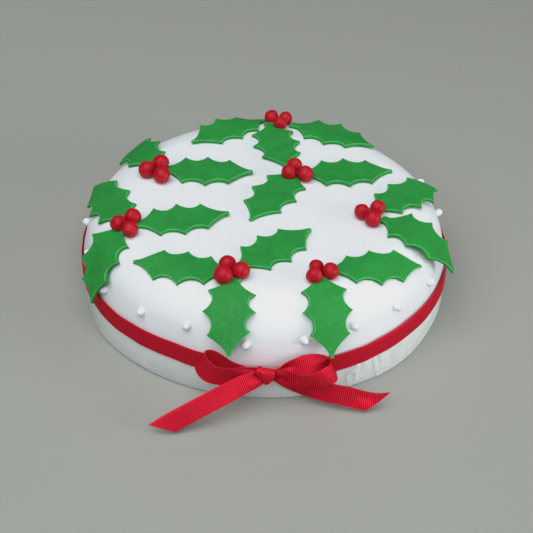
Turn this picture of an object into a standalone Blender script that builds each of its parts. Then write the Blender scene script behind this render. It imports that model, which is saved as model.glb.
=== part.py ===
"""A round Christmas cake under white icing, with holly sprigs and a ribbon tied in a bow.

The cake stands on its own flat foot at the origin. +X is to its right, -Y is its front, where
the bow is tied, and +Z is up. Sizes are in millimetres and become metres as the points are made.
Leaves and berries are placed on the icing by their distance along its surface from the middle
of the top, so a leaf near the edge bends down over the shoulder.
"""

import math
import random
from collections import namedtuple

import bmesh
import bpy
from mathutils import Matrix, Vector

MM = 0.001
GAP = 0.3

# The iced cake: a turned shape, from its foot up to the flat top.
CAKE_HEIGHT = 57.2
CAKE_SEGMENTS = 72
FOOT_RADIUS = 113.0
FOOT_EDGE = 0.8
SIDE_RADIUS = 110.0
SIDE_LOW = 14.0
SIDE_HIGH = 25.4
SHOULDER_RADIUS = 107.4
SHOULDER_START = 36.8
SHOULDER_WIDTH = 26.4
SHOULDER_STEPS = 8
SHOULDER_FINE_STEPS = 48
TOP_RING = 45.0

# The small icing pearls round the side.
PEARL_COUNT = 21
PEARL_FIRST_ANGLE = -146.5
PEARL_HEIGHTS = (32.3, 36.1, 39.1, 35.0, 36.8, 39.0, 39.0, 37.0)
PEARL_SHIFTS = (0.0, 0.5, -0.5, 0.5, 0.5, -0.8, -1.6, -0.8)
PEARL_RADIUS = 2.2
PEARL_RISE = 1.1
PEARL_DRAWN_OUT = 1.15

# The clear film and the ribbon wrapped round the side.
FILM_THICKNESS = 0.35
FILM_BOTTOM = 0.8
FILM_TOP = 22.0
RIBBON_WIDTH = 11.5
RIBBON_THICKNESS = 0.5
BAND_BOTTOM = 14.0

# Holly leaves, all from one cutter: the spikes' places along the leaf and their reach.
LEAF_LENGTH = 51.0
LEAF_THICKNESS = 2.1
LEAF_CLEARANCE = 0.55
LEAF_WAVE = 0.35
WAVE_ALONG = 0.45
WAVE_ACROSS = 2.2
SPIKE_PLACES = (9.9, 23.3, 36.7)
SPIKE_REACHES = (13.4, 15.0, 12.3)
LEAF_BASE_REACH = 1.6
LEAF_TIP_REACH = 0.7
SCALLOP_DEPTHS = (1.6, 3.4, 3.2, 1.8)
SCALLOP_STEPS = 3
LEAF_START_STEP = 0.5
LEAF_START_SHARE = 0.96
LEAF_COLUMNS = (-1.0, -0.5, 0.0, 0.5, 1.0)

# Berries: three to a sprig, all but touching, each a ball pressed a little out of round.
BERRY_CUT = 0.45
BERRY_SQUASH = (0.95, 1.0)
BERRY_TILT_AXIS = (0.4, 0.3, 1.0)

Berry = namedtuple("Berry", "x y radius")
Leaf = namedtuple("Leaf", "name x y heading turn length width lift")
Sprig = namedtuple("Sprig", "name berries leaves")

SPRIGS = (
    Sprig("back", (
        Berry(1.7, 92.6, 4.5), Berry(10.8, 90.6, 4.3), Berry(7.6, 82.2, 4.3),
    ), (
        Leaf("left", -5.3, 91.8, 216, 3, 53.7, 1.00, 0.4),
        Leaf("right", 18.2, 83.2, 339, -8, 53.7, 0.96, 1.5),
        Leaf("front", 0.9, 81.2, 281, 1, 50.4, 1.01, 1.8),
    )),
    Sprig("back_left", (
        Berry(-73.1, 21.5, 5.0), Berry(-65.5, 29.8, 4.9), Berry(-63.8, 15.7, 5.0),
    ), (
        Leaf("back", -68.3, 30.9, 123, -6, 50.7, 1.00, 4.5),
        Leaf("right", -60.7, 25.4, 358, 0, 52.5, 1.03, 2.4),
    )),
    Sprig("left", (
        Berry(-83.9, -33.1, 4.7), Berry(-77.1, -28.0, 4.8), Berry(-76.6, -40.0, 4.6),
    ), (
        Leaf("back", -83.2, -26.3, 120, -5, 52.6, 0.89, 4.1),
        Leaf("front", -83.6, -35.0, 226, 19, 44.2, 1.28, 6.0),
        Leaf("right", -72.5, -33.0, 14, -2, 52.6, 1.01, 3.1),
    )),
    Sprig("centre", (
        Berry(16.8, 33.0, 4.5), Berry(13.6, 24.1, 4.7), Berry(23.4, 22.6, 4.8),
    ), (
        Leaf("right", 25.3, 26.7, 6, 1, 52.0, 1.02, 0.0),
        Leaf("front", 16.9, 25.0, 241, 3, 55.8, 1.01, 0.0),
    )),
    Sprig("right", (
        Berry(56.6, -15.0, 4.4), Berry(66.0, -10.6, 4.5), Berry(62.5, -22.4, 4.9),
    ), (
        Leaf("back", 65.7, -9.3, 39, 5, 49.1, 0.94, 3.6),
        Leaf("front", 70.8, -19.9, 326, 7, 45.8, 1.10, 9.0),
    )),
    Sprig("front_left", (
        Berry(-22.3, -81.0, 5.2), Berry(-12.7, -76.8, 4.8), Berry(-20.5, -70.5, 4.6),
    ), (
        Leaf("left", -21.4, -74.5, 174, -11, 52.2, 0.87, 0.3),
        Leaf("back", -11.6, -68.8, 41, -2, 49.4, 1.02, 2.0),
        Leaf("front", -15.7, -82.6, 261, 15, 40.9, 0.98, 5.0),
    )),
    Sprig("front_right", (
        Berry(27.8, -78.1, 4.5), Berry(36.7, -74.0, 4.6), Berry(29.2, -69.7, 4.0),
    ), (
        Leaf("right", 39.0, -71.4, 11, 12, 53.5, 0.83, 0.6),
        Leaf("front", 31.7, -78.1, 282, 5, 42.8, 0.98, 5.0),
    )),
)

# The bow. Each strip is a run of ribbon stations: the middle of the ribbon and its width there.
KNOT_CENTRE = (3.0, -117.3, 20.8)
KNOT_SIZE = (11.0, 10.4, 12.6)
KNOT_BEVEL = 3.4
GATHERED_WIDTH = 7.5
HALF_GATHERED_WIDTH = 9.5
STRIP_STEPS = 4

Station = namedtuple("Station", "x y z width lean")

LEFT_LOOP = (
    Station(-3.5, -114.4, 19.8, GATHERED_WIDTH, 0),
    Station(-9.0, -114.2, 20.2, HALF_GATHERED_WIDTH, 0),
    Station(-18.0, -112.9, 21.7, RIBBON_WIDTH, 0),
    Station(-26.0, -110.9, 24.2, RIBBON_WIDTH, 0),
    Station(-32.0, -110.6, 23.8, RIBBON_WIDTH, 0),
    Station(-35.3, -114.4, 23.0, RIBBON_WIDTH, 0),
    Station(-32.5, -119.6, 22.6, RIBBON_WIDTH, 0),
    Station(-25.0, -122.4, 22.8, RIBBON_WIDTH, 0),
    Station(-15.0, -121.2, 22.8, RIBBON_WIDTH, 0),
    Station(-7.5, -118.9, 22.0, HALF_GATHERED_WIDTH, 0),
    Station(-3.5, -117.6, 21.5, GATHERED_WIDTH, 0),
)
RIGHT_LOOP = (
    Station(9.8, -114.2, 19.0, GATHERED_WIDTH, 0),
    Station(13.5, -113.6, 20.2, HALF_GATHERED_WIDTH, 0),
    Station(20.5, -112.4, 23.5, RIBBON_WIDTH, 0),
    Station(28.0, -110.8, 24.8, RIBBON_WIDTH, 0),
    Station(35.5, -109.4, 22.6, RIBBON_WIDTH, 0),
    Station(41.2, -112.6, 21.2, RIBBON_WIDTH, 0),
    Station(39.6, -118.4, 21.6, RIBBON_WIDTH, -6),
    Station(31.0, -121.6, 21.6, RIBBON_WIDTH, -10),
    Station(22.0, -122.6, 21.4, RIBBON_WIDTH, -10),
    Station(14.0, -121.4, 21.4, HALF_GATHERED_WIDTH, -6),
    Station(9.8, -119.8, 20.8, GATHERED_WIDTH, 0),
)
LEFT_TAIL = (
    Station(-3.5, -122.0, 19.6, HALF_GATHERED_WIDTH, 36),
    Station(-9.0, -125.4, 18.2, RIBBON_WIDTH, 42),
    Station(-24.0, -131.5, 13.6, RIBBON_WIDTH, 42),
    Station(-39.0, -138.0, 8.8, RIBBON_WIDTH, 42),
    Station(-53.0, -144.2, 4.0, RIBBON_WIDTH, 42),
)
RIGHT_TAIL = (
    Station(9.8, -118.6, 16.8, GATHERED_WIDTH, 40),
    Station(16.0, -118.8, 15.4, RIBBON_WIDTH, 40),
    Station(30.0, -119.6, 12.2, RIBBON_WIDTH, 40),
    Station(46.0, -120.4, 9.4, RIBBON_WIDTH, 40),
    Station(64.0, -121.0, 6.6, RIBBON_WIDTH, 40),
)
TAIL_CUT = 5.5


def clear_scene():
    for old in list(bpy.data.objects):
        bpy.data.objects.remove(old, do_unlink=True)


def make_material(name, colour, roughness):
    material = bpy.data.materials.new(name)
    material.use_nodes = True
    shader = material.node_tree.nodes["Principled BSDF"]
    shader.inputs["Base Color"].default_value = (*colour, 1.0)
    shader.inputs["Roughness"].default_value = roughness
    shader.inputs["Metallic"].default_value = 0.0
    return material


def add_object(name, shape, material):
    """Put a finished bmesh into the scene, in metres, as one object."""
    bmesh.ops.scale(shape, vec=(MM, MM, MM), verts=shape.verts)
    mesh = bpy.data.meshes.new(name)
    shape.to_mesh(mesh)
    shape.free()
    mesh.materials.append(material)
    made = bpy.data.objects.new(name, mesh)
    bpy.context.scene.collection.objects.link(made)
    return made


def shoulder_points(steps):
    """The rounded edge of the icing: part of an ellipse that runs smoothly into the side."""
    inner = SHOULDER_RADIUS - SHOULDER_WIDTH
    drop = CAKE_HEIGHT - SHOULDER_START
    taper = (SIDE_RADIUS - SHOULDER_RADIUS) / (SHOULDER_START - SIDE_HIGH)
    end_cosine = taper * drop / (SHOULDER_WIDTH - taper * drop)
    end_turn = math.acos(end_cosine)
    half_width = SHOULDER_WIDTH / math.sin(end_turn)
    half_height = drop / (1.0 - end_cosine)
    points = []
    for step in range(steps + 1):
        turn = end_turn * step / steps
        points.append((
            inner + half_width * math.sin(turn),
            CAKE_HEIGHT - half_height * (1.0 - math.cos(turn)),
        ))
    return points


def icing_outline(steps):
    """The icing's section as (radius, height), from the middle of the top to the foot."""
    outline = [(0.0, CAKE_HEIGHT), (TOP_RING, CAKE_HEIGHT)]
    outline += shoulder_points(steps)
    outline += [(SIDE_RADIUS, SIDE_HIGH), (SIDE_RADIUS, SIDE_LOW)]
    outline += [(FOOT_RADIUS, FOOT_EDGE), (FOOT_RADIUS - FOOT_EDGE, 0.0)]
    return outline


def point_on_icing(x, y, height):
    """The point at this height over the icing, where x and y are measured along its surface."""
    travelled = math.hypot(x, y)
    around = math.atan2(y, x)
    outline = icing_outline(SHOULDER_FINE_STEPS)
    for (near_radius, near_z), (far_radius, far_z) in zip(outline, outline[1:]):
        run = math.hypot(far_radius - near_radius, far_z - near_z)
        if travelled <= run:
            break
        travelled -= run
    share = travelled / run
    radius = near_radius + (far_radius - near_radius) * share
    level = near_z + (far_z - near_z) * share
    outward = (near_z - far_z) / run
    upward = (far_radius - near_radius) / run
    radius += outward * height
    level += upward * height
    return Vector((radius * math.cos(around), radius * math.sin(around), level))


def turned_shape(outline, segments, closed):
    """Turn a section, given as (radius, height), once round the Z axis."""
    shape = bmesh.new()
    corners = [shape.verts.new((radius, 0.0, height)) for radius, height in outline]
    edges = [shape.edges.new(pair) for pair in zip(corners, corners[1:])]
    if closed:
        edges.append(shape.edges.new((corners[-1], corners[0])))
    bmesh.ops.spin(
        shape, geom=corners + edges, axis=(0, 0, 1), cent=(0, 0, 0),
        angle=2 * math.pi, steps=segments, use_merge=True,
    )
    bmesh.ops.remove_doubles(shape, verts=shape.verts, dist=0.001)
    bmesh.ops.recalc_face_normals(shape, faces=shape.faces)
    return shape


def pearl_shape(position, outward):
    """One drop of icing, drawn out a little from the side that it sits on."""
    shape = bmesh.new()
    bmesh.ops.create_icosphere(shape, subdivisions=2, radius=PEARL_RADIUS)
    bmesh.ops.scale(shape, vec=(1.0, 1.0, PEARL_DRAWN_OUT), verts=shape.verts)
    turn = Vector((0, 0, 1)).rotation_difference(outward).to_matrix().to_4x4()
    place = Matrix.Translation(position) @ turn
    bmesh.ops.transform(shape, matrix=place, verts=shape.verts)
    return shape


def pearl_places():
    """The angle and the height of each pearl, with the wander of a row piped by hand."""
    pitch = 360.0 / PEARL_COUNT
    for number in range(PEARL_COUNT):
        turn = number % len(PEARL_HEIGHTS)
        angle = PEARL_FIRST_ANGLE + number * pitch + PEARL_SHIFTS[turn]
        yield math.radians(angle), PEARL_HEIGHTS[turn]


def distance_down_to(level):
    """How far from the middle of the top the icing's surface comes down to this height."""
    travelled = 0.0
    outline = icing_outline(SHOULDER_FINE_STEPS)
    for (near_radius, near_z), (far_radius, far_z) in zip(outline, outline[1:]):
        run = math.hypot(far_radius - near_radius, far_z - near_z)
        if far_z < level <= near_z:
            return travelled + run * (near_z - level) / (near_z - far_z)
        travelled += run
    return travelled


def make_cake(icing):
    """The iced cake, with the pearls fused to its side."""
    section = [*icing_outline(SHOULDER_STEPS), (0.0, 0.0)]
    cake = add_object("cake", turned_shape(section, CAKE_SEGMENTS, False), icing)
    pearls = bpy.data.collections.new("pearls")
    bpy.context.scene.collection.children.link(pearls)
    for angle, height in pearl_places():
        reach = distance_down_to(height)
        along = (reach * math.cos(angle), reach * math.sin(angle))
        position = point_on_icing(*along, PEARL_RISE)
        outward = (position - point_on_icing(*along, 0.0)).normalized()
        pearl = add_object("pearl", pearl_shape(position, outward), icing)
        bpy.context.scene.collection.objects.unlink(pearl)
        pearls.objects.link(pearl)
    union = cake.modifiers.new("pearls", "BOOLEAN")
    union.operation = "UNION"
    union.operand_type = "COLLECTION"
    union.collection = pearls
    apply_modifiers(cake)
    for pearl in list(pearls.objects):
        bpy.data.objects.remove(pearl, do_unlink=True)
    bpy.data.collections.remove(pearls)


def apply_modifiers(thing):
    """Replace the object's mesh by the one that its modifiers give."""
    graph = bpy.context.evaluated_depsgraph_get()
    finished = bpy.data.meshes.new_from_object(thing.evaluated_get(graph))
    thing.modifiers.clear()
    thing.data = finished


def make_film(clear):
    """The clear strip wrapped round the foot of the cake, under the ribbon."""
    inner = [
        (FOOT_RADIUS + GAP, FILM_BOTTOM),
        (SIDE_RADIUS + GAP, SIDE_LOW),
        (SIDE_RADIUS + GAP, FILM_TOP),
    ]
    outer = [(radius + FILM_THICKNESS, height) for radius, height in reversed(inner)]
    add_object("clear_film", turned_shape(inner + outer, CAKE_SEGMENTS, True), clear)


def make_band(ribbon):
    """The ribbon that goes once round the cake."""
    inner = SIDE_RADIUS + GAP + FILM_THICKNESS + GAP
    outer = inner + RIBBON_THICKNESS
    top = BAND_BOTTOM + RIBBON_WIDTH
    section = [(inner, BAND_BOTTOM), (inner, top), (outer, top), (outer, BAND_BOTTOM)]
    add_object("ribbon_band", turned_shape(section, CAKE_SEGMENTS, True), ribbon)


def thin_solid(rows):
    """A closed sheet from rows of (lower, upper) points, both faces split alike."""
    shape = bmesh.new()
    lower = [[shape.verts.new(pair[0]) for pair in row] for row in rows]
    upper = [[shape.verts.new(pair[1]) for pair in row] for row in rows]
    last_row = len(rows) - 1
    last_column = len(rows[0]) - 1
    for i in range(last_row):
        for j in range(last_column):
            for sheet in (lower, upper):
                a, b = sheet[i][j], sheet[i + 1][j]
                c, d = sheet[i + 1][j + 1], sheet[i][j + 1]
                shape.faces.new((a, b, c))
                shape.faces.new((a, c, d))
    rim = [(0, j) for j in range(last_column)]
    rim += [(i, last_column) for i in range(last_row)]
    rim += [(last_row, j) for j in range(last_column, 0, -1)]
    rim += [(i, 0) for i in range(last_row, 0, -1)]
    for (i, j), (next_i, next_j) in zip(rim, rim[1:] + rim[:1]):
        near, far = lower[i][j], lower[next_i][next_j]
        shape.faces.new((near, far, upper[next_i][next_j]))
        shape.faces.new((near, upper[next_i][next_j], upper[i][j]))
    bmesh.ops.recalc_face_normals(shape, faces=shape.faces)
    return shape


def leaf_stations(start):
    """The cutter's outline as (place along the leaf, reach to each side), from the start on."""
    places = (0.0, *SPIKE_PLACES, LEAF_LENGTH)
    reaches = (LEAF_BASE_REACH, *SPIKE_REACHES, LEAF_TIP_REACH)
    stations = []
    for span, depth in enumerate(SCALLOP_DEPTHS):
        first = start / SPIKE_PLACES[0] if span == 0 else 0.0
        for step in range(SCALLOP_STEPS):
            share = first + (1.0 - first) * step / SCALLOP_STEPS
            place = places[span] + (places[span + 1] - places[span]) * share
            reach = reaches[span] + (reaches[span + 1] - reaches[span]) * share
            stations.append((place, reach - 4.0 * depth * share * (1.0 - share)))
    stations.append((places[-1], reaches[-1]))
    return stations


def free_start(leaf, berries):
    """How far along its middle line the leaf comes out from under the berries."""
    start = 0.0
    while start < SPIKE_PLACES[0] - LEAF_START_STEP:
        x, y = leaf_point(leaf, start, 0.0)
        clear = True
        for centre, radius in berries:
            middle = point_on_icing(x, y, radius + GAP)
            clear = clear and (middle - centre).length > radius * LEAF_START_SHARE
        if clear:
            break
        start += LEAF_START_STEP
    return start


def placed_berries():
    """Each berry's name, its middle and its radius."""
    for sprig in SPRIGS:
        for number, berry in enumerate(sprig.berries, start=1):
            centre = point_on_icing(berry.x, berry.y, berry.radius + GAP)
            yield f"berry_{sprig.name}_{number}", centre, berry.radius


def pressed_by_berries(point, outward, berries):
    """Move a leaf's point sideways, along the icing, out of any berry that it lies in."""
    for centre, radius in berries:
        away = point - centre
        if away.length >= radius + BERRY_CUT:
            continue
        rise = away.dot(outward)
        sideways = away - outward * rise
        reach = math.sqrt((radius + BERRY_CUT) ** 2 - rise ** 2)
        point = centre + outward * rise + sideways.normalized() * reach
    return point


def leaf_point(leaf, along, across):
    """Where a point of the cutter's outline comes on the icing, as x and y along it."""
    length = leaf.length
    bend = math.radians(leaf.turn) / length
    heading = math.radians(leaf.heading)
    travelled = along * length / LEAF_LENGTH
    turned = bend * travelled
    forward = math.sin(turned) / bend if bend else travelled
    sideways = (1.0 - math.cos(turned)) / bend if bend else 0.0
    forward -= across * math.sin(turned)
    sideways += across * math.cos(turned)
    x = leaf.x + forward * math.cos(heading) - sideways * math.sin(heading)
    y = leaf.y + forward * math.sin(heading) + sideways * math.cos(heading)
    return x, y


def make_leaf(name, leaf, berries, green):
    """One holly leaf: a thin, slightly wavy sheet that follows the icing and lifts at its tip."""
    rows = []
    for along, reach in leaf_stations(free_start(leaf, berries)):
        row = []
        for column in LEAF_COLUMNS:
            x, y = leaf_point(leaf, along, column * reach * leaf.width)
            lift = leaf.lift * (along / LEAF_LENGTH) ** 2
            phase = along * WAVE_ALONG + column * WAVE_ACROSS + leaf.heading
            wave = LEAF_WAVE * (1.0 + math.sin(phase))
            low = LEAF_CLEARANCE + lift + wave
            under = point_on_icing(x, y, low)
            over = point_on_icing(x, y, low + LEAF_THICKNESS)
            outward = (over - under).normalized()
            row.append((
                pressed_by_berries(under, outward, berries),
                pressed_by_berries(over, outward, berries),
            ))
        rows.append(row)
    add_object(name, thin_solid(rows), green)


def make_berry(name, centre, radius, draw, red):
    """One berry: a ball of paste, a little out of round."""
    shape = bmesh.new()
    bmesh.ops.create_icosphere(shape, subdivisions=2, radius=radius)
    squash = [draw.uniform(*BERRY_SQUASH) for _ in range(3)]
    bmesh.ops.scale(shape, vec=squash, verts=shape.verts)
    turn = Matrix.Rotation(draw.uniform(0, 2 * math.pi), 4, Vector(BERRY_TILT_AXIS))
    bmesh.ops.transform(shape, matrix=Matrix.Translation(centre) @ turn, verts=shape.verts)
    add_object(name, shape, red)


def make_holly(green, red):
    draw = random.Random(7)
    placed = list(placed_berries())
    berries = [(centre, radius) for _, centre, radius in placed]
    for sprig in SPRIGS:
        for leaf in sprig.leaves:
            make_leaf(f"leaf_{sprig.name}_{leaf.name}", leaf, berries, green)
    for name, centre, radius in placed:
        make_berry(name, centre, radius, draw, red)


def smooth_run(stations):
    """Finer stations on a smooth curve through the given ones."""
    values = [tuple(station) for station in stations]
    first = [2 * a - b for a, b in zip(values[0], values[1])]
    last = [2 * a - b for a, b in zip(values[-1], values[-2])]
    values = [first, *values, last]
    run = []
    for before, start, end, after in zip(values, values[1:], values[2:], values[3:]):
        for step in range(STRIP_STEPS):
            t = step / STRIP_STEPS
            run.append(Station(*(
                0.5 * (2 * b + (c - a) * t + (2 * a - 5 * b + 4 * c - d) * t ** 2
                       + (3 * b - a - 3 * c + d) * t ** 3)
                for a, b, c, d in zip(before, start, end, after)
            )))
    return [*run, Station(*values[-2])]


def make_strip(name, stations, cut, ribbon):
    """A run of ribbon. The cut is how much longer its upper edge is at the far end."""
    run = smooth_run(stations)
    rows = []
    for number, station in enumerate(run):
        middle = Vector((station.x, station.y, station.z))
        before = run[max(number - 1, 0)]
        after = run[min(number + 1, len(run) - 1)]
        onward = Vector((after.x - before.x, after.y - before.y, after.z - before.z)).normalized()
        outward = Vector((station.x, station.y, 0.0)).normalized()
        lean = math.radians(station.lean)
        upper = Vector((0, 0, math.cos(lean))) - outward * math.sin(lean)
        upper = (upper - onward * upper.dot(onward)).normalized()
        face = onward.cross(upper) * (RIBBON_THICKNESS / 2)
        slant = onward * (cut if number == len(run) - 1 else 0.0)
        row = []
        for side in (-0.5, 0.5):
            edge = middle + upper * (station.width * side) + slant * side
            row.append((edge - face, edge + face))
        rows.append(row)
    add_object(name, thin_solid(rows), ribbon)


def make_knot(ribbon):
    """The knot of the bow: the ribbon's wraps, drawn tight into one rounded lump."""
    shape = bmesh.new()
    bmesh.ops.create_cube(shape, size=1.0)
    bmesh.ops.scale(shape, vec=KNOT_SIZE, verts=shape.verts)
    long_edges = [
        edge for edge in shape.edges
        if abs((edge.verts[0].co - edge.verts[1].co).x) > GAP
    ]
    bmesh.ops.bevel(shape, geom=long_edges, offset=KNOT_BEVEL, segments=4, profile=0.5)
    bmesh.ops.translate(shape, vec=KNOT_CENTRE, verts=shape.verts)
    add_object("bow_knot", shape, ribbon)


def make_bow(ribbon):
    make_knot(ribbon)
    make_strip("bow_loop_left", LEFT_LOOP, 0.0, ribbon)
    make_strip("bow_loop_right", RIGHT_LOOP, 0.0, ribbon)
    make_strip("bow_tail_left", LEFT_TAIL, TAIL_CUT * 2, ribbon)
    make_strip("bow_tail_right", RIGHT_TAIL, TAIL_CUT * 2, ribbon)


def main():
    clear_scene()
    icing = make_material("white_icing", (0.78, 0.80, 0.83), 0.55)
    ribbon = make_material("red_ribbon", (0.62, 0.012, 0.03), 0.5)
    green = make_material("green_sugar_paste", (0.028, 0.24, 0.05), 0.6)
    red = make_material("red_sugar_paste", (0.46, 0.01, 0.02), 0.4)
    clear = make_material("clear_film", (0.85, 0.87, 0.88), 0.1)
    make_cake(icing)
    make_film(clear)
    make_band(ribbon)
    make_holly(green, red)
    make_bow(ribbon)


if __name__ == "__main__":
    main()
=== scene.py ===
"""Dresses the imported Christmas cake: icing with its pearls, holly leaves and berries, the ribbed
ribbon round the side with its bow, and the clear film round the foot.

Sizes in the tables are in millimetres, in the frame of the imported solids, and become metres as
the points are made. Leaves and berries are placed on the icing by their distance along its
surface from the middle of the top.
"""

import math
import random
from bisect import bisect_right
from collections import namedtuple

import bmesh
import bpy
from bpy.props import FloatProperty, FloatVectorProperty
from bpy.types import Operator, Panel, PropertyGroup
from mathutils import Matrix, Vector, noise


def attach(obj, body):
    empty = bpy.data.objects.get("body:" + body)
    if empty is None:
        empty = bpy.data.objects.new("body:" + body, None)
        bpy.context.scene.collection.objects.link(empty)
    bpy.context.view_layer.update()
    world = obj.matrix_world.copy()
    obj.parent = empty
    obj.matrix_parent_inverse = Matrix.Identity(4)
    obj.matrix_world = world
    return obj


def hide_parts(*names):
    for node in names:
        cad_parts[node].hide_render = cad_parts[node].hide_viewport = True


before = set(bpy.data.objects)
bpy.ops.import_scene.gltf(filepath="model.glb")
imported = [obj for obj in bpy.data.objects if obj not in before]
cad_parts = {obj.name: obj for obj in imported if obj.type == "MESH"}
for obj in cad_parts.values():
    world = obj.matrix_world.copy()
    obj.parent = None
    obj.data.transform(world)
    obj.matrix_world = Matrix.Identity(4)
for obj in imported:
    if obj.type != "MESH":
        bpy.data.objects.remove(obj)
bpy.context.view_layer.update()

bl_info = {
    "name": "Christmas Cake Dresser",
    "version": (1, 0, 0),
    "blender": (4, 5, 0),
    "location": "3D View > Sidebar > Cake",
    "description": "Dresses the packed cake with icing, holly, ribbon, bow and clear film",
    "category": "Add Mesh",
}

MM = 0.001

# The iced cake's section, as in its solid.
CAKE_HEIGHT = 57.2
FOOT_RADIUS = 113.0
FOOT_EDGE = 0.8
SIDE_RADIUS = 110.0
SIDE_LOW = 14.0
SIDE_HIGH = 25.4
SHOULDER_RADIUS = 107.4
SHOULDER_START = 36.8
SHOULDER_WIDTH = 26.4
SHOULDER_STEPS = 24
CAKE_SEGMENTS = 180

# Rings of points between the section's own, and the height from which unevenness goes straight up.
SIDE_RINGS = (17.0, 20.0, 22.7)
TOP_RINGS = (78.0, 62.0, 45.0, 28.0, 12.0, 4.0)
LEVEL_TOP = 50.0

# The smoothed icing's slow swells and smaller ones: how far apart they are, and their share.
SWELLS = ((48.0, 0.7), (17.0, 0.245))

# How far the foot stays inside its solid, by the angle round the cake: it spreads at the front.
FOOT_DRAWN_IN = (
    (-180, 2.6), (-165, 2.6), (-145, 0.0), (-50, 0.0), (-22, 2.6), (25, 2.6), (60, 1.6),
    (150, 1.6), (180, 2.6),
)

# The pearls' heights and how far they are off their even places, eight in turn, the few that sit
# higher, and how a piped drop differs from a ball, in shares of its radius.
PEARL_COUNT = 21
PEARL_FIRST_ANGLE = -146.5
PEARL_HEIGHTS = (32.3, 36.1, 39.1, 35.0, 36.8, 39.0, 39.0, 37.0)
PEARL_SHIFTS = (0.0, 0.5, -0.5, 0.5, 0.5, -0.8, -1.6, -0.8)
PEARL_RISES = {9: 4.9, 10: 4.4, 19: 1.5}
PEARL_STANDS = 1.1
PEARL_PEAK_FROM = 0.94
PEARL_PEAK = 0.10
PEARL_FOOT_FROM = -0.45
PEARL_FOOT = (1.12, 1.12, 0.8)
PEARL_TILT = 0.22

# The holly cutter: the spikes' places along the leaf and their reach to each side.
LEAF_LENGTH = 51.0
LEAF_START = -4.0
LEAF_HEIGHT = 0.05
LEAF_WAVE = 0.12
WAVE_ALONG = 0.45
WAVE_ACROSS = 2.2
SPIKE_PLACES = (9.9, 23.3, 36.7)
SPIKE_REACHES = (13.4, 15.0, 12.3)
LEAF_BASE_REACH = 3.0
LEAF_TIP_REACH = 1.1
SCALLOP_DEPTHS = (1.9, 4.0, 3.9, 2.2)
SCALLOP_STEPS = 9
RIM_STEPS = (0.0, 0.12, 0.42, 0.9, 1.6)
INNER_COLUMNS = 7
RIM_ROUND = 0.8
RIM_FOOT = 0.66
RIM_SHOWN = 1.5
UNDERSIDE_RISE = 0.25
LEAF_LUMPS = 0.16
LEAF_LUMP_PITCH = 9.0
CURL_REACH = 15.0

BERRY_FULLNESS = 1.04
BERRY_SUNK = 0.15
BERRY_LUMPS = ((6.5, 1.0), (3.0, 0.4))

# Each sprig's name, its berries as (x, y, radius) and its leaves. A leaf starts at x and y, heads
# that many degrees round, turns on its way, and is stretched to its own length and width. Its tip
# is lifted, and so is one side.
Leaf = namedtuple("Leaf", "name x y heading turn length width lift curl")

SPRIGS = (
    ("back", (
        (1.7, 92.6, 4.5), (10.8, 90.6, 4.3), (7.6, 82.2, 4.3),
    ), (
        Leaf("left", -5.8, 93.4, 217.9, 2.1, 54.1, 0.95, 0.7, -3.5),
        Leaf("right", 18.1, 85.2, 339.3, -4.7, 52.9, 0.97, 0.6, 5.9),
        Leaf("front", 0.7, 82.6, 282.0, 2.1, 49.7, 1.01, 0.9, 0.6),
    )),
    ("back_left", (
        (-73.1, 21.9, 5.0), (-65.3, 29.8, 4.9), (-63.7, 16.6, 5.0),
    ), (
        Leaf("back", -69.8, 31.3, 122.9, -22.0, 48.8, 0.94, 5.4, -1.9),
        Leaf("right", -61.2, 28.0, 357.9, 2.2, 52.5, 1.03, 0.9, 0.0),
    )),
    ("left", (
        (-84.0, -32.5, 4.7), (-77.1, -27.7, 4.8), (-76.9, -39.0, 4.6),
    ), (
        Leaf("back", -83.0, -26.0, 117.0, -3.0, 54.0, 0.92, 3.4, 0.8),
        Leaf("front", -83.1, -34.8, 227.6, 12.5, 43.6, 1.12, 5.8, -3.4),
        Leaf("right", -73.2, -31.0, 13.5, 1.6, 53.2, 0.97, 0.9, 0.8),
    )),
    ("centre", (
        (16.8, 33.0, 4.5), (13.6, 24.1, 4.7), (23.4, 22.6, 4.8),
    ), (
        Leaf("right", 24.9, 28.3, 5.4, 2.4, 52.3, 1.06, 0.0, -0.8),
        Leaf("front", 17.2, 27.1, 239.5, 6.2, 56.7, 1.02, 0.0, 0.2),
    )),
    ("right", (
        (56.6, -15.0, 4.4), (66.0, -10.6, 4.5), (62.5, -22.4, 4.9),
    ), (
        Leaf("back", 65.3, -8.1, 38.7, 6.4, 49.8, 0.93, 5.1, -0.5),
        Leaf("front", 71.1, -19.9, 325.3, 7.1, 44.0, 1.03, 10.0, 1.9),
    )),
    ("front_left", (
        (-22.3, -81.0, 5.2), (-12.7, -76.8, 4.8), (-20.5, -70.5, 4.6),
    ), (
        Leaf("left", -21.1, -73.6, 174.0, -13.2, 54.0, 0.86, 0.0, -0.6),
        Leaf("back", -12.6, -67.5, 41.6, 2.0, 52.5, 0.99, 0.9, 0.8),
        Leaf("front", -15.8, -82.5, 257.9, 17.2, 39.5, 1.00, 7.3, 1.3),
    )),
    ("front_right", (
        (27.8, -78.1, 4.5), (36.7, -74.0, 4.6), (29.2, -69.7, 4.0),
    ), (
        Leaf("right", 38.4, -69.3, 11.9, 13.8, 55.2, 0.81, 0.9, 0.8),
        Leaf("front", 31.4, -77.2, 282.6, 2.4, 43.1, 0.98, 6.6, 0.0),
    )),
)

# The ribbon and the bow. Each strip is a run of stations, and a station is the strip's two edges
# there: the upper edge's x, y, z and the lower edge's. Edges that come closer than the ribbon's
# width are drawn together into small folds.
RIBBON_WIDTH = 11.5
RIBBON_THICKNESS = 0.5
BAND_RADIUS = 111.2
BAND_BOTTOM = 14.0
BAND_LEAN_FROM = 25.0
BAND_LEAN = 0.2
BAND_COLUMNS = 8

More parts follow.
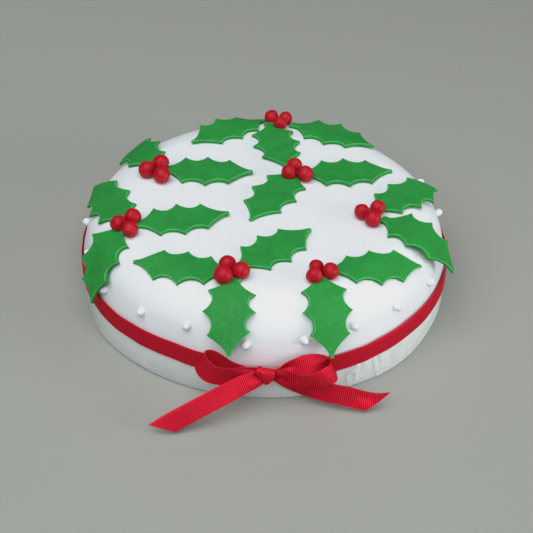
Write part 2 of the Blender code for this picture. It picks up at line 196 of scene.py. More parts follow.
# How far the band is off its level: it rises at the sides and is drawn down by the bow, where it
# is also drawn together.
BAND_RISES = (
    (-180, 0.0), (-150, 0.0), (-140, 0.4), (-130, 1.2), (-118, 1.9), (-107, 0.9), (-99, -0.9),
    (-90, -1.2), (-80, -1.2), (-70, -0.7), (-60, 0.1), (-50, 1.3), (-40, 2.2), (-22, 2.6),
    (10, 1.6), (60, 0.4), (180, 0.0),
)
BOW_ANGLE = -89.0
BAND_DRAWN_WIDTH = 6.0
BAND_DRAWN_REACH = 7.0

LEFT_LOOP = (
    (1.0, -115.0, 22.8, 1.0, -114.6, 16.4), (-2.2, -114.0, 22.6, -2.0, -113.8, 15.1),
    (-6.0, -112.8, 22.2, -5.9, -112.6, 12.7), (-11.6, -111.8, 23.2, -14.3, -111.4, 12.3),
    (-17.1, -110.8, 25.4, -22.1, -109.9, 15.0), (-21.6, -109.9, 28.4, -26.5, -108.9, 18.1),
    (-25.5, -109.1, 30.5, -30.3, -107.9, 20.1), (-28.8, -108.2, 30.4, -34.0, -107.1, 20.3),
    (-30.8, -108.3, 29.6, -35.7, -108.4, 19.1), (-30.6, -111.0, 29.4, -36.1, -111.7, 19.2),
    (-28.8, -114.0, 28.4, -34.2, -116.2, 18.5), (-26.2, -116.8, 27.7, -30.9, -119.2, 17.5),
    (-22.8, -118.8, 27.4, -26.0, -120.8, 16.7), (-16.2, -120.8, 28.5, -17.7, -122.2, 17.4),
    (-8.7, -120.2, 28.4, -8.6, -120.8, 18.6), (-2.7, -118.3, 26.7, -2.2, -118.6, 19.2),
    (1.0, -117.4, 25.2, 1.0, -117.4, 19.4),
)
RIGHT_LOOP = (
    (5.0, -115.6, 23.0, 5.0, -115.6, 18.2), (7.1, -114.5, 23.8, 7.1, -114.9, 17.3),
    (10.4, -112.9, 24.2, 10.7, -113.9, 16.5), (14.1, -111.9, 26.5, 15.3, -116.0, 17.7),
    (18.5, -110.9, 28.5, 21.3, -116.8, 19.3), (22.8, -109.7, 29.9, 26.4, -116.2, 21.2),
    (27.2, -108.6, 30.0, 31.1, -114.6, 21.2), (31.6, -107.3, 29.1, 35.5, -111.6, 19.2),
    (35.6, -106.3, 27.1, 39.2, -107.8, 16.3), (37.8, -107.0, 25.0, 41.4, -107.2, 14.2),
    (38.1, -110.8, 26.2, 42.3, -110.2, 15.6), (36.9, -113.8, 26.7, 42.0, -114.3, 16.4),
    (34.5, -116.6, 27.0, 39.5, -117.9, 16.7), (30.8, -119.4, 26.6, 33.8, -118.7, 15.6),
    (27.2, -121.2, 26.3, 28.9, -118.5, 15.3), (22.9, -122.4, 26.7, 23.9, -119.0, 15.7),
    (19.6, -122.8, 27.8, 20.6, -119.9, 16.7), (16.3, -122.4, 28.7, 17.0, -120.0, 17.5),
    (13.0, -121.2, 28.7, 13.1, -119.5, 18.2), (10.1, -119.8, 27.6, 10.1, -119.0, 19.1),
    (7.9, -118.4, 25.7, 8.1, -117.9, 19.2), (5.4, -117.4, 24.2, 5.4, -117.4, 19.2),
)
LEFT_TAIL = (
    (1.0, -117.8, 24.8, 3.0, -118.2, 17.8), (-2.7, -119.8, 26.5, 1.2, -121.2, 17.8),
    (-7.0, -121.9, 26.8, -3.4, -124.6, 17.0), (-12.3, -124.2, 25.9, -8.3, -127.3, 15.7),
    (-24.5, -129.5, 21.7, -18.9, -133.4, 12.6), (-37.7, -135.0, 16.7, -31.9, -139.4, 8.1),
    (-50.9, -140.0, 10.9, -46.2, -144.6, 1.6), (-59.8, -144.0, 6.5, -55.2, -148.6, -2.8),
)
RIGHT_TAIL = (
    (4.6, -116.6, 20.4, 4.6, -115.6, 16.0), (6.4, -116.2, 19.6, 6.7, -114.8, 15.1),
    (8.7, -115.8, 18.7, 8.5, -114.2, 13.3), (12.3, -115.3, 17.3, 12.5, -113.6, 9.5),
    (16.7, -114.8, 16.4, 16.5, -112.8, 6.6), (21.2, -114.9, 15.6, 20.8, -113.0, 4.9),
    (25.6, -115.3, 15.7, 24.9, -114.2, 4.4), (29.9, -115.9, 16.1, 29.1, -116.4, 4.7),
    (34.9, -116.5, 16.1, 34.3, -118.4, 4.8), (40.4, -117.0, 15.9, 39.8, -120.5, 5.0),
    (49.3, -117.2, 14.4, 48.0, -121.9, 4.2), (57.6, -117.4, 12.0, 57.2, -123.0, 2.6),
    (65.0, -117.4, 10.8, 64.2, -123.2, 1.2), (72.0, -117.6, 11.8, 70.6, -123.4, 1.6),
)
MAIN_WRAP = (
    (0.8, -115.4, 24.0, 6.1, -115.4, 23.2), (0.0, -118.4, 27.2, 7.1, -118.0, 26.0),
    (0.2, -121.5, 27.5, 7.6, -120.9, 26.2), (0.8, -122.8, 25.4, 7.4, -121.9, 23.8),
    (1.5, -122.6, 22.1, 5.9, -121.8, 20.7), (2.2, -121.4, 18.8, 4.1, -121.0, 18.0),
    (2.5, -118.6, 16.0, 3.5, -118.6, 16.0),
)
SIDE_WRAP = (
    (-2.7, -115.6, 23.7, 0.3, -115.6, 25.0), (-2.7, -118.6, 27.2, 0.7, -118.4, 28.6),
    (-2.5, -121.2, 27.1, 0.8, -121.0, 28.4), (-1.8, -121.9, 24.8, 1.2, -121.6, 25.1),
    (-0.5, -121.4, 21.6, 1.9, -121.2, 21.4), (0.9, -120.3, 18.8, 2.5, -120.2, 18.4),
)
KNOT_CORE = (3.2, -117.8, 21.8)
KNOT_CORE_RADII = (3.1, 2.9, 3.6)
LEFT_TAIL_CUT = 12.0
RIGHT_TAIL_CUT = 13.0
STRIP_STEPS = 8
STRIP_COLUMNS = 14
FOLDS_ACROSS = 1.5
FOLD_SLACK = 0.4
CUT_LEAN = 12.0
STRIP_MAP = "strip"

# The film: where it starts, how far it laps and stands off, and its creases, each with its angle
# from the bow, its reach and its strength.
FILM_START = 60.0
FILM_LAP = 7.0
FILM_STEPS = 720
FILM_COLUMNS = 14
FILM_BOTTOM = 0.8
FILM_THICKNESS = 0.10
FILM_GAP = 0.32
FILM_LAP_GAP = 0.25
FILM_CREASES = ((0.0, 12.0, 1.0), (31.0, 14.0, 1.7))
FILM_CREASE_PITCH = 6.0

# Where the camera stood, fitted to the cake's round edges: its place and its axes.
CAMERA_PLACE = (0.0, -693.770, 529.390)
CAMERA_YAW = 0.0017
CAMERA_PITCH = 0.0068
CAMERA_ROLL = 0.0324
CAMERA_LENS = 94.56

# How bright light is shown: as it is up to 0.65, and less and less above that.
HIGHLIGHTS = (
    (0.25, 0.25), (0.50, 0.50), (0.65, 0.65), (0.78, 0.758), (0.95, 0.825), (1.20, 0.865),
    (1.60, 0.90), (2.5, 0.94),
)


# ---- settings


COLOUR = {"size": 3, "subtype": "COLOR", "min": 0.0, "max": 1.0}


class IcingSettings(PropertyGroup):
    """The white icing and its piped pearls."""

    colour: FloatVectorProperty(
        name="Icing colour", description="Colour of the sugar icing",
        default=(0.80, 0.835, 0.87), **COLOUR,
    )
    unevenness: FloatProperty(
        name="Unevenness", description="How far the smoothed icing wanders from its true shape",
        default=0.0007, unit="LENGTH", min=0.0, max=0.002,
    )
    pearl_radius: FloatProperty(
        name="Pearl radius", description="Radius of one piped pearl",
        default=0.00245, unit="LENGTH", min=0.001, max=0.004,
    )


class HollySettings(PropertyGroup):
    """The sugar-paste leaves and berries."""

    leaf_colour: FloatVectorProperty(
        name="Leaf colour", description="Colour of the green sugar paste",
        default=(0.021, 0.25, 0.0435), **COLOUR,
    )
    # The rim colour is a painted highlight: lighter green along the leaf's rounded edge, where that
    # edge catches the light.
    rim_highlight_colour: FloatVectorProperty(
        name="Leaf rim colour", description="Colour of the paste along its pressed, rounded edge",
        default=(0.075, 0.50, 0.13), **COLOUR,
    )
    berry_colour: FloatVectorProperty(
        name="Berry colour", description="Colour of the red sugar paste",
        default=(0.455, 0.0055, 0.0165), **COLOUR,
    )
    leaf_thickness: FloatProperty(
        name="Leaf thickness", description="Thickness of the rolled paste",
        default=0.0021, unit="LENGTH", min=0.001, max=0.004,
    )
    berry_lumps: FloatProperty(
        name="Berry lumps", description="How far a hand-rolled berry is from a true ball",
        default=0.0005, unit="LENGTH", min=0.0, max=0.001,
    )


class RibbonSettings(PropertyGroup):
    """The ribbed ribbon round the cake and its bow."""

    # Between them, the rib colour and the groove colour paint light on the ribs' crests and shade
    # in their grooves.
    colour: FloatVectorProperty(
        name="Ribbon colour", description="Colour of the ribs",
        default=(0.97, 0.031, 0.070), **COLOUR,
    )
    groove_shade_colour: FloatVectorProperty(
        name="Groove colour", description="Colour between the ribs",
        default=(0.35, 0.0035, 0.012), **COLOUR,
    )
    rib_pitch: FloatProperty(
        name="Rib pitch", description="Distance from one rib to the next",
        default=0.00108, unit="LENGTH", min=0.0005, max=0.003,
    )


class FilmSettings(PropertyGroup):
    """The clear film round the foot of the cake."""

    crinkle: FloatProperty(
        name="Crinkle", description="How far the film stands off where it is crinkled",
        default=0.0007, unit="LENGTH", min=0.0, max=0.002,
    )
    top: FloatProperty(
        name="Top edge", description="Height of the film's upper edge",
        default=0.022, unit="LENGTH", min=0.01, max=0.03,
    )


class StageSettings(PropertyGroup):
    """The floor, the lights and the camera."""

    floor_colour: FloatVectorProperty(
        name="Floor colour", description="Colour of the plain floor",
        default=(0.34, 0.35, 0.32), **COLOUR,
    )
    sky_strength: FloatProperty(
        name="Room light", description="Strength of the even light from all round",
        default=0.08, min=0.0, max=2.0,
    )
    key_power: FloatProperty(
        name="Main light", description="Power of the large soft light high up at the front left",
        default=78.0, unit="POWER", min=0.0, max=500.0,
    )
    side_power: FloatProperty(
        name="Side light", description="Power of the light at the cake's right",
        default=1.85, unit="POWER", min=0.0, max=500.0,
    )


# ---- shader expressions


class Value:
    """A socket of a shader, on which Python's operators add Math nodes."""

    def __init__(self, finish, socket):
        self.finish = finish
        self.socket = socket

    def __add__(self, other):
        return self.finish.maths("ADD", self, other)

    __radd__ = __add__

    def __mul__(self, other):
        return self.finish.maths("MULTIPLY", self, other)

    __rmul__ = __mul__

    def __sub__(self, other):
        return self.finish.maths("SUBTRACT", self, other)

    def __rsub__(self, other):
        return self.finish.maths("SUBTRACT", other, self)


class Finish:
    """A material while its nodes are put together."""

    def __init__(self, name):
        self.material = bpy.data.materials.new(name)
        self.material.use_nodes = True
        self.tree = self.material.node_tree
        self.shader = self.tree.nodes["Principled BSDF"]

    def node(self, kind, settings=None, sockets=None, output=0):
        """Add a node: its settings are made first, then its sockets get values or links."""
        made = self.tree.nodes.new(kind)
        for name, value in (settings or {}).items():
            setattr(made, name, value)
        for key, value in (sockets or {}).items():
            self.feed(made.inputs[key], value)
        return Value(self, made.outputs[output])

    def feed(self, socket, value):
        if isinstance(value, Value):
            self.tree.links.new(value.socket, socket)
        else:
            socket.default_value = value

    def maths(self, operation, *values):
        sockets = dict(enumerate(values))
        return self.node("ShaderNodeMath", {"operation": operation}, sockets)

    def noise(self, scale, detail, roughness):
        place = self.node("ShaderNodeTexCoord", output="Object")
        sockets = {"Vector": place, "Scale": scale, "Detail": detail, "Roughness": roughness}
        return self.node("ShaderNodeTexNoise", sockets=sockets)

    def on_strip(self, axis):
        """A strip's own UV map, on X or on Y."""
        place = self.node("ShaderNodeUVMap", {"uv_map": STRIP_MAP})
        return self.node("ShaderNodeSeparateXYZ", sockets={"Vector": place}, output=axis)

    def between(self, value, low, high):
        """A smooth mask that is 0 up to low and 1 from high on."""
        sockets = {"Value": value, "From Min": low, "From Max": high}
        settings = {"interpolation_type": "SMOOTHSTEP"}
        return self.node("ShaderNodeMapRange", settings, sockets)

    def mix(self, share, *colours):
        sockets = {0: share}
        for socket, colour in enumerate(colours, start=6):
            sockets[socket] = colour if isinstance(colour, Value) else (*colour, 1.0)
        return self.node("ShaderNodeMix", {"data_type": "RGBA"}, sockets, output=2)

    def set(self, socket, value):
        self.feed(self.shader.inputs[socket], value)

    def bump(self, height, distance, strength):
        sockets = {"Height": height, "Distance": distance, "Strength": strength}
        self.set("Normal", self.node("ShaderNodeBump", sockets=sockets))


def shade_of(colour, share):
    return tuple(min(1.0, part * share) for part in colour)


def icing_finish(settings):
    """Smooth sugar icing: nearly matt, with faint clouds and a very fine grain."""
    finish = Finish("sugar_icing")
    colour = settings.colour
    clouds = finish.noise(38.0, 3.0, 0.55)
    finish.set("Base Color", finish.mix(clouds, shade_of(colour, 0.965), shade_of(colour, 1.03)))
    grain = finish.noise(1400.0, 2.0, 0.6)
    swell = finish.noise(120.0, 2.0, 0.5)
    finish.set("Roughness", 0.42 + swell * 0.14)
    finish.bump(grain * 0.25 + swell, 0.00035, 0.55)
    return finish.material


def leaf_finish(settings):
    """Green sugar paste: matt and mottled, with a painted highlight and a little more gloss along
    its rounded edge.
    """
    finish = Finish("green_paste")
    finish.set("Specular IOR Level", 0.22)
    colour = settings.leaf_colour
    rim = finish.node("ShaderNodeAttribute", {"attribute_name": "rim"}, output="Fac")
    clouds = finish.noise(75.0, 3.0, 0.6)
    specks = finish.noise(900.0, 2.0, 0.65)
    base = finish.mix(clouds, shade_of(colour, 0.76), shade_of(colour, 1.28))
    speckled = finish.mix(
        finish.between(specks, 0.48, 0.74) * 0.45, base, shade_of(colour, 1.8),
    )
    # Painted highlight: a thin lighter line just inside the rim, where the leaf's rounded top edge
    # catches the light.
    edge = finish.between(rim, 0.05, 0.30) * (1 - finish.between(rim, 0.55, 0.95))
    edge = edge * (0.45 + clouds * 0.6)
    finish.set("Base Color", finish.mix(edge, speckled, settings.rim_highlight_colour))
    finish.set("Roughness", 0.60 - edge * 0.18)
    finish.bump(specks * 0.5 + clouds, 0.0004, 0.6)
    return finish.material


def berry_finish(settings):
    """Red sugar paste rolled by hand: satin, with faint marks of the palm."""
    finish = Finish("red_paste")
    finish.set("Specular IOR Level", 0.22)
    colour = settings.berry_colour
    clouds = finish.noise(260.0, 3.0, 0.6)
    finish.set("Base Color", finish.mix(clouds, shade_of(colour, 0.74), shade_of(colour, 1.2)))
    finish.set("Roughness", 0.34 + clouds * 0.16)
    marks = finish.noise(650.0, 3.0, 0.6)
    finish.bump(marks * 0.45 + clouds, 0.0006, 0.75)
    return finish.material


def ribbon_finish(settings, relief=1.0):
    """Ribbed ribbon: ribs straight across it, between two plain woven edges.

    The ribs carry painted light on their crests and painted shade in their grooves. Where it is
    drawn tight, less of the ribs' relief and of this painted light shows.
    """
    finish = Finish("ribbed_ribbon")
    finish.set("Specular IOR Level", 0.1)
    finish.set("Specular Tint", (1.0, 0.2, 0.26, 1.0))
    finish.set("Metallic", 0.5)
    turn = finish.on_strip("X") * (math.tau / settings.rib_pitch)
    ribs = finish.maths("SINE", turn) * 0.5 + 0.5
    middle = finish.maths("ABSOLUTE", finish.on_strip("Y") - RIBBON_WIDTH * MM / 2)
    edge = finish.between(middle, 0.0048, 0.0052)
    threads = finish.noise(1500.0, 2.0, 0.6)
    clouds = finish.noise(60.0, 2.0, 0.5)
    # Painted light and shade: the ribs are painted lighter on their crests and darker in their
    # grooves, less so where the ribbon is drawn tight.
    woven_ribs = finish.maths("POWER", ribs, 1.6) * relief + 0.48 * (1.0 - relief)
    # The plain edges get no ribs, and are painted a little lighter than the ribs: a painted sheen.
    painted_rib_light = woven_ribs * (1 - edge) + edge * 0.55
    woven = finish.mix(
        painted_rib_light * 0.9 + threads * 0.1, settings.groove_shade_colour, settings.colour,
    )
    finish.set("Base Color", finish.mix(clouds * 0.25, woven, shade_of(settings.colour, 0.72)))
    finish.set("Roughness", 0.52 - painted_rib_light * 0.10)
    finish.bump(ribs * (1 - edge) + threads * 0.15, 0.00020 * relief, 0.8)
    return finish.material


def film_finish():
    """Clear film: see-through, with a gloss that gathers on its creases."""
    finish = Finish("clear_wrap")
    finish.set("Base Color", (0.95, 0.96, 0.97, 1.0))
    finish.set("Metallic", 0.4)
    clear = finish.node("ShaderNodeBsdfTransparent", sockets={"Color": (0.987, 0.992, 0.977, 1.0)})
    fine = finish.noise(240.0, 2.0, 0.5)
    finish.set("Roughness", 0.14 + fine * 0.12)
    finish.bump(fine, 0.0004, 0.4)
    gloss = finish.node("ShaderNodeFresnel", sockets={"IOR": 1.40})
    share = gloss * 0.3 + finish.on_strip("Y") * 0.30
    sockets = {0: finish.maths("MINIMUM", share, 0.45), 1: clear}
    sockets[2] = Value(finish, finish.shader.outputs[0])
    mixed = finish.node("ShaderNodeMixShader", sockets=sockets)
    finish.feed(finish.tree.nodes["Material Output"].inputs["Surface"], mixed)
    return finish.material


# ---- the icing's shape


def shoulder_points():
    """The rounded edge of the icing: part of an ellipse that runs smoothly into the side."""
    inner = SHOULDER_RADIUS - SHOULDER_WIDTH
    drop = CAKE_HEIGHT - SHOULDER_START
    taper = (SIDE_RADIUS - SHOULDER_RADIUS) / (SHOULDER_START - SIDE_HIGH)
    end_cosine = taper * drop / (SHOULDER_WIDTH - taper * drop)
    end_turn = math.acos(end_cosine)
    half_width = SHOULDER_WIDTH / math.sin(end_turn)
    half_height = drop / (1.0 - end_cosine)
    points = []
    for step in range(SHOULDER_STEPS + 1):
        turn = end_turn * step / SHOULDER_STEPS
        points.append((
            inner + half_width * math.sin(turn),
            CAKE_HEIGHT - half_height * (1.0 - math.cos(turn)),
        ))
    return points


# The icing's section as (radius, height), from the middle of the top to the foot.
OUTLINE = [
    (0.0, CAKE_HEIGHT), *shoulder_points(), (SIDE_RADIUS, SIDE_HIGH), (SIDE_RADIUS, SIDE_LOW),
    (FOOT_RADIUS, FOOT_EDGE), (FOOT_RADIUS - FOOT_EDGE, 0.0),
]


def point_on_icing(x, y, height):
    """The point at this height over the icing, where x and y are measured along its surface."""
    travelled = math.hypot(x, y)
    around = math.atan2(y, x)
    for (near_radius, near_z), (far_radius, far_z) in zip(OUTLINE, OUTLINE[1:]):
        run = math.hypot(far_radius - near_radius, far_z - near_z)
        if travelled <= run:
            break
        travelled -= run
    share = travelled / run
    radius = near_radius + (far_radius - near_radius) * share + (near_z - far_z) / run * height
    level = near_z + (far_z - near_z) * share + (far_radius - near_radius) / run * height
    return Vector((radius * math.cos(around), radius * math.sin(around), level))


def distance_down_to(level):
    """How far from the middle of the top the icing's surface comes down to this height."""
    travelled = 0.0
    for (near_radius, near_z), (far_radius, far_z) in zip(OUTLINE, OUTLINE[1:]):
        run = math.hypot(far_radius - near_radius, far_z - near_z)
        if far_z < level <= near_z:
            return travelled + run * (near_z - level) / (near_z - far_z)
        travelled += run
    return travelled


def round_cake(table, degrees):
    """A value that changes round the cake, smoothly from one of the table's angles to the next."""
    degrees = (degrees + 180.0) % 360.0 - 180.0
    for (start, value), (end, next_value) in zip(table, table[1:]):
        if degrees <= end:
            share = (degrees - start) / (end - start)
            return value + (next_value - value) * share * share * (3.0 - 2.0 * share)


def foot_spread(level, degrees):
    """How far the icing stands out from its side at this level near the foot."""
    down = min(1.0, max(0.0, (SIDE_LOW - level) / (SIDE_LOW - FOOT_EDGE)))
    return (FOOT_RADIUS - SIDE_RADIUS - round_cake(FOOT_DRAWN_IN, degrees)) * down


# ---- modelling helpers


def deselect_all():
    if bpy.context.mode != "OBJECT":
        bpy.ops.object.mode_set(mode="OBJECT")
    bpy.ops.object.select_all(action="DESELECT")


def only(piece):
    """Make this the one selected and active object."""
    deselect_all()
    piece.select_set(True)
    bpy.context.view_layer.objects.active = piece


def add(operator, name, **settings):
    """Add an object by its operator, with nothing else selected, and name it."""
    deselect_all()
    operator(**settings)
    piece = bpy.context.active_object
    piece.name = name
    piece.data.name = name
    return piece


def edit(piece, kind, action):
    """Go into edit mode with all of the piece selected, or nothing of it."""
    only(piece)
    bpy.ops.object.mode_set(mode="EDIT")
    bpy.ops.mesh.select_mode(type=kind)
    bpy.ops.mesh.select_all(action=action)


def extrude_up(rise):
    bpy.ops.mesh.extrude_region_move(TRANSFORM_OT_translate={"value": (0.0, 0.0, rise)})


def leave_facing_out():
    """Turn every face outwards and leave edit mode."""
    bpy.ops.mesh.select_all(action="SELECT")
    bpy.ops.mesh.normals_make_consistent(inside=False)
    bpy.ops.object.mode_set(mode="OBJECT")


def add_grid(name, rows, columns):
    """A flat grid, 2 by 2, to be shaped row by row."""
    grid = bpy.ops.mesh.primitive_grid_add
    return add(grid, name, x_subdivisions=rows, y_subdivisions=columns, size=2.0)


def grid_corners(piece, rows, columns):
    """Each point of a flat grid, with its row and its column."""
    for corner in piece.data.vertices:
        row = round((corner.co.x + 1.0) / 2.0 * rows)
        yield corner, row, round((corner.co.y + 1.0) / 2.0 * columns)


def select_where(test):
    """Select the vertices, in edit mode, whose place passes the test."""
    mesh = bpy.context.active_object.data
    shape = bmesh.from_edit_mesh(mesh)
    for corner in shape.verts:
        corner.select_set(bool(test(corner.co)))
    shape.select_flush_mode()
    bmesh.update_edit_mesh(mesh)


def apply_place(piece):
    only(piece)
    bpy.ops.object.transform_apply(location=True, rotation=True, scale=True)


def smooth(piece, degrees=180.0):
    only(piece)
    bpy.ops.object.shade_smooth_by_angle(angle=math.radians(degrees))


def copy_of(piece, name):
    """A copy with its own mesh."""
    made = piece.copy()
    made.data = piece.data.copy()
    made.name = name
    made.data.name = name
    bpy.context.scene.collection.objects.link(made)
    return made


def join(pieces):
    """Join the later pieces into the first."""
    deselect_all()
    for piece in pieces:
        piece.select_set(True)
    bpy.context.view_layer.objects.active = pieces[0]
    bpy.ops.object.join()
    return pieces[0]


def finish_piece(piece, material, slot, *nodes):
    """Give the piece its material and let it stand for its solids."""
    piece.data.materials.clear()
    piece.data.materials.append(material)
    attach(piece, "root")
    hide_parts(*nodes)


def wander(point, pitch, seed):
    """A smooth value from about -1 to 1 that wanders over this many millimetres."""
    return noise.noise(Vector(point) / pitch + Vector((seed * 7.3, seed * 3.1, seed * 5.7)))


def wander_over(point, waves, seed):
    """The sum of such values over each of the pitches, each with its share."""
    return sum(share * wander(point, pitch, seed + n) for n, (pitch, share) in enumerate(waves))


# ---- icing and pearls


def make_iced_cake(settings):
    """The icing, drawn up from its foot ring by ring, then made uneven as smoothed icing is."""
    rings = list(reversed(OUTLINE[1:]))
    rings[3:3] = [(SIDE_RADIUS, level) for level in SIDE_RINGS]
    rings += [(radius, CAKE_HEIGHT) for radius in TOP_RINGS]
    cake = add(
        bpy.ops.mesh.primitive_circle_add, "iced_cake", vertices=CAKE_SEGMENTS,
        radius=rings[0][0] * MM, fill_type="NGON",
    )
    edit(cake, "FACE", "SELECT")
    for (radius, height), (next_radius, next_height) in zip(rings, rings[1:]):
        extrude_up((next_height - height) * MM)
        grow = next_radius / radius
        bpy.ops.transform.resize(value=(grow, grow, 1.0), center_override=(0.0, 0.0, 0.0))
    bpy.ops.mesh.poke()
    leave_facing_out()
    for corner in cake.data.vertices:
        point = corner.co / MM
        share = min(1.0, max(0.0, (point.z - 1.0) / 12.0))
        swell = wander_over(point, SWELLS, 1)
        outward = Vector((0, 0, 1))
        if point.z < LEVEL_TOP:
            outward = Vector((point.x, point.y, 0.0)).normalized()
        corner.co += outward * (swell * settings.unevenness * share)
        degrees = math.degrees(math.atan2(point.y, point.x))
        moved = foot_spread(point.z, degrees) - foot_spread(point.z, BOW_ANGLE)
        corner.co += outward * moved * MM
    return cake


def make_pearls(settings):
    """One piped drop with its small peak, copied round the side."""
    radius = settings.pearl_radius
    sphere = bpy.ops.mesh.primitive_uv_sphere_add
    drop = add(sphere, "pearl_master", segments=24, ring_count=16, radius=radius)
    edit(drop, "VERT", "DESELECT")
    select_where(lambda place: place.z > radius * PEARL_PEAK_FROM)
    bpy.ops.transform.translate(value=(0.0, 0.0, radius * PEARL_PEAK))
    select_where(lambda place: place.z < radius * PEARL_FOOT_FROM)
    bpy.ops.transform.resize(value=PEARL_FOOT, center_override=(0.0, 0.0, 0.0))
    bpy.ops.object.mode_set(mode="OBJECT")
    draw = random.Random(21)
    pearls = []
    for number in range(PEARL_COUNT):
        turn = number % len(PEARL_HEIGHTS)
        angle = PEARL_FIRST_ANGLE + number * 360.0 / PEARL_COUNT + PEARL_SHIFTS[turn]
        reach = distance_down_to(PEARL_HEIGHTS[turn] + PEARL_RISES.get(number, 0.0))
        x = reach * math.cos(math.radians(angle))
        y = reach * math.sin(math.radians(angle))
        place = point_on_icing(x, y, PEARL_STANDS)
        outward = (place - point_on_icing(x, y, 0.0)).normalized()
        outward += Vector([draw.uniform(-PEARL_TILT, PEARL_TILT) for _ in range(3)])
        pearl = copy_of(drop, f"pearl_{number}")
        grow = draw.uniform(0.92, 1.08)
        size = Matrix.Diagonal((grow, grow * draw.uniform(0.93, 1.07), grow * 1.08, 1.0))
        facing = outward.normalized().to_track_quat("Z", "Y").to_matrix().to_4x4()
        pearl.data.transform(Matrix.Translation(place * MM) @ facing @ size)
        pearls.append(pearl)
    bpy.data.objects.remove(drop, do_unlink=True)
    return pearls


class CAKE_OT_icing(Operator):
    """Model the iced cake and the pearls piped round its side"""

    bl_idname = "cake.icing"
    bl_label = "Icing and pearls"

    def execute(self, context):
        settings = context.scene.cake_icing
        cake = join([make_iced_cake(settings), *make_pearls(settings)])
        smooth(cake, 60.0)
        finish_piece(cake, icing_finish(settings), "white_icing", "cake")
        return {"FINISHED"}


# ---- holly leaves


def leaf_stations():
    """The cutter's outline as (place along the leaf, reach to each side), from its start on."""
    places = (0.0, *SPIKE_PLACES, LEAF_LENGTH)
    reaches = (LEAF_BASE_REACH, *SPIKE_REACHES, LEAF_TIP_REACH)
    stations = []
    for span, depth in enumerate(SCALLOP_DEPTHS):
        first = LEAF_START / SPIKE_PLACES[0] if span == 0 else 0.0
        for step in range(SCALLOP_STEPS):
            share = first + (1.0 - first) * step / SCALLOP_STEPS
            place = places[span] + (places[span + 1] - places[span]) * share
            reach = reaches[span] + (reaches[span + 1] - reaches[span]) * share
            hollow = 4.0 * share * (1.0 - share)
            reach -= depth * math.copysign(abs(hollow) ** 0.85, hollow)
            stations.append((place, max(LEAF_BASE_REACH, reach) if span == 0 else reach))
    stations.append((places[-1], reaches[-1]))
    return stations


def leaf_columns(reach):
    """Each column's place across the leaf and its distance from the rim, close set at the rim."""
    shrink = min(1.0, reach / 4.0)
    steps = [step * shrink for step in RIM_STEPS]
    inner = reach - steps[-1]
    columns = [(-reach + step, step) for step in steps]
    for number in range(1, INNER_COLUMNS + 1):
        across = inner * (2.0 * number / (INNER_COLUMNS + 1) - 1.0)
        columns.append((across, reach - abs(across)))
    columns += [(reach - step, step) for step in reversed(steps)]
    return columns


def leaf_point(leaf, along, across):
    """Where a point of the cutter's outline comes on the icing, as x and y along it."""
    bend = math.radians(leaf.turn) / leaf.length
    heading = math.radians(leaf.heading)
    travelled = along * leaf.length / LEAF_LENGTH
    turned = bend * travelled
    forward = math.sin(turned) / bend if bend else travelled
    sideways = (1.0 - math.cos(turned)) / bend if bend else 0.0
    forward -= across * math.sin(turned)
    sideways += across * math.cos(turned)
    x = leaf.x + forward * math.cos(heading) - sideways * math.sin(heading)
    y = leaf.y + forward * math.sin(heading) + sideways * math.cos(heading)
    return x, y


def make_leaf_blank():
    """The rolled and cut leaf, lying flat: two sheets of columns and rows, joined round the rim."""
    blank = add_grid("leaf_blank", len(leaf_stations()) - 1, len(leaf_columns(1.0)) - 1)
    edit(blank, "FACE", "SELECT")
    extrude_up(1.0)
    leave_facing_out()
    return blank


def rim_height(distance, thickness):
    """How high the leaf's upper face is this far from its rim: a rounded edge."""
    fall = max(0.0, 1.0 - distance / RIM_ROUND)
    return thickness * (RIM_FOOT + (1.0 - RIM_FOOT) * math.sqrt(1.0 - fall ** 2.2))


def lay_leaf(piece, leaf, number, thickness):
    """Move each point of the flat blank to its place on the icing."""
    stations = leaf_stations()
    columns = len(leaf_columns(1.0)) - 1
    rims = []
    for corner, row, column in grid_corners(piece, len(stations) - 1, columns):
        along, reach = stations[row]
        across, inside = leaf_columns(reach * leaf.width)[column]
        inside = min(inside, LEAF_LENGTH - along + 0.25, along - LEAF_START + 0.6)
        x, y = leaf_point(leaf, along, across)
        share = across / (reach * leaf.width)
        phase = along * WAVE_ALONG + share * WAVE_ACROSS + leaf.heading
        height = LEAF_HEIGHT + LEAF_WAVE * (1.0 + math.sin(phase))
        height += leaf.lift * (along / LEAF_LENGTH) ** 2
        off_side = max(0.0, math.copysign(across, across * leaf.curl)) / CURL_REACH
        height += abs(leaf.curl) * off_side ** 2
        if corner.co.z > 0.5:
            lump = wander((x, y, 0.0), LEAF_LUMP_PITCH, 3 + number)
            height += rim_height(inside, thickness) + LEAF_LUMPS * lump
        else:
            height += UNDERSIDE_RISE * max(0.0, 1.0 - inside)
        corner.co = point_on_icing(x, y, height) * MM
        # The distance from the rim, kept up to RIM_SHOWN, places the painted highlight along the
        # leaf's edge.
        rims.append(min(RIM_SHOWN, inside))
    mark = piece.data.attributes.new("rim", "FLOAT", "POINT")
    mark.data.foreach_set("value", rims)


class CAKE_OT_leaves(Operator):
    """Cut one holly leaf from paste and lay its copies on the icing"""

    bl_idname = "cake.leaves"
    bl_label = "Holly leaves"

    def execute(self, context):
        settings = context.scene.cake_holly
        paste = leaf_finish(settings)
        blank = make_leaf_blank()
        number = 0
        for sprig, _, leaves in SPRIGS:
            for leaf in leaves:
                piece = copy_of(blank, f"holly_{sprig}_{leaf.name}")
                lay_leaf(piece, leaf, number, settings.leaf_thickness / MM)
                smooth(piece, 75.0)
                finish_piece(piece, paste, "green_sugar_paste", f"leaf_{sprig}_{leaf.name}")
                number += 1
        bpy.data.objects.remove(blank, do_unlink=True)
        return {"FINISHED"}


# ---- berries


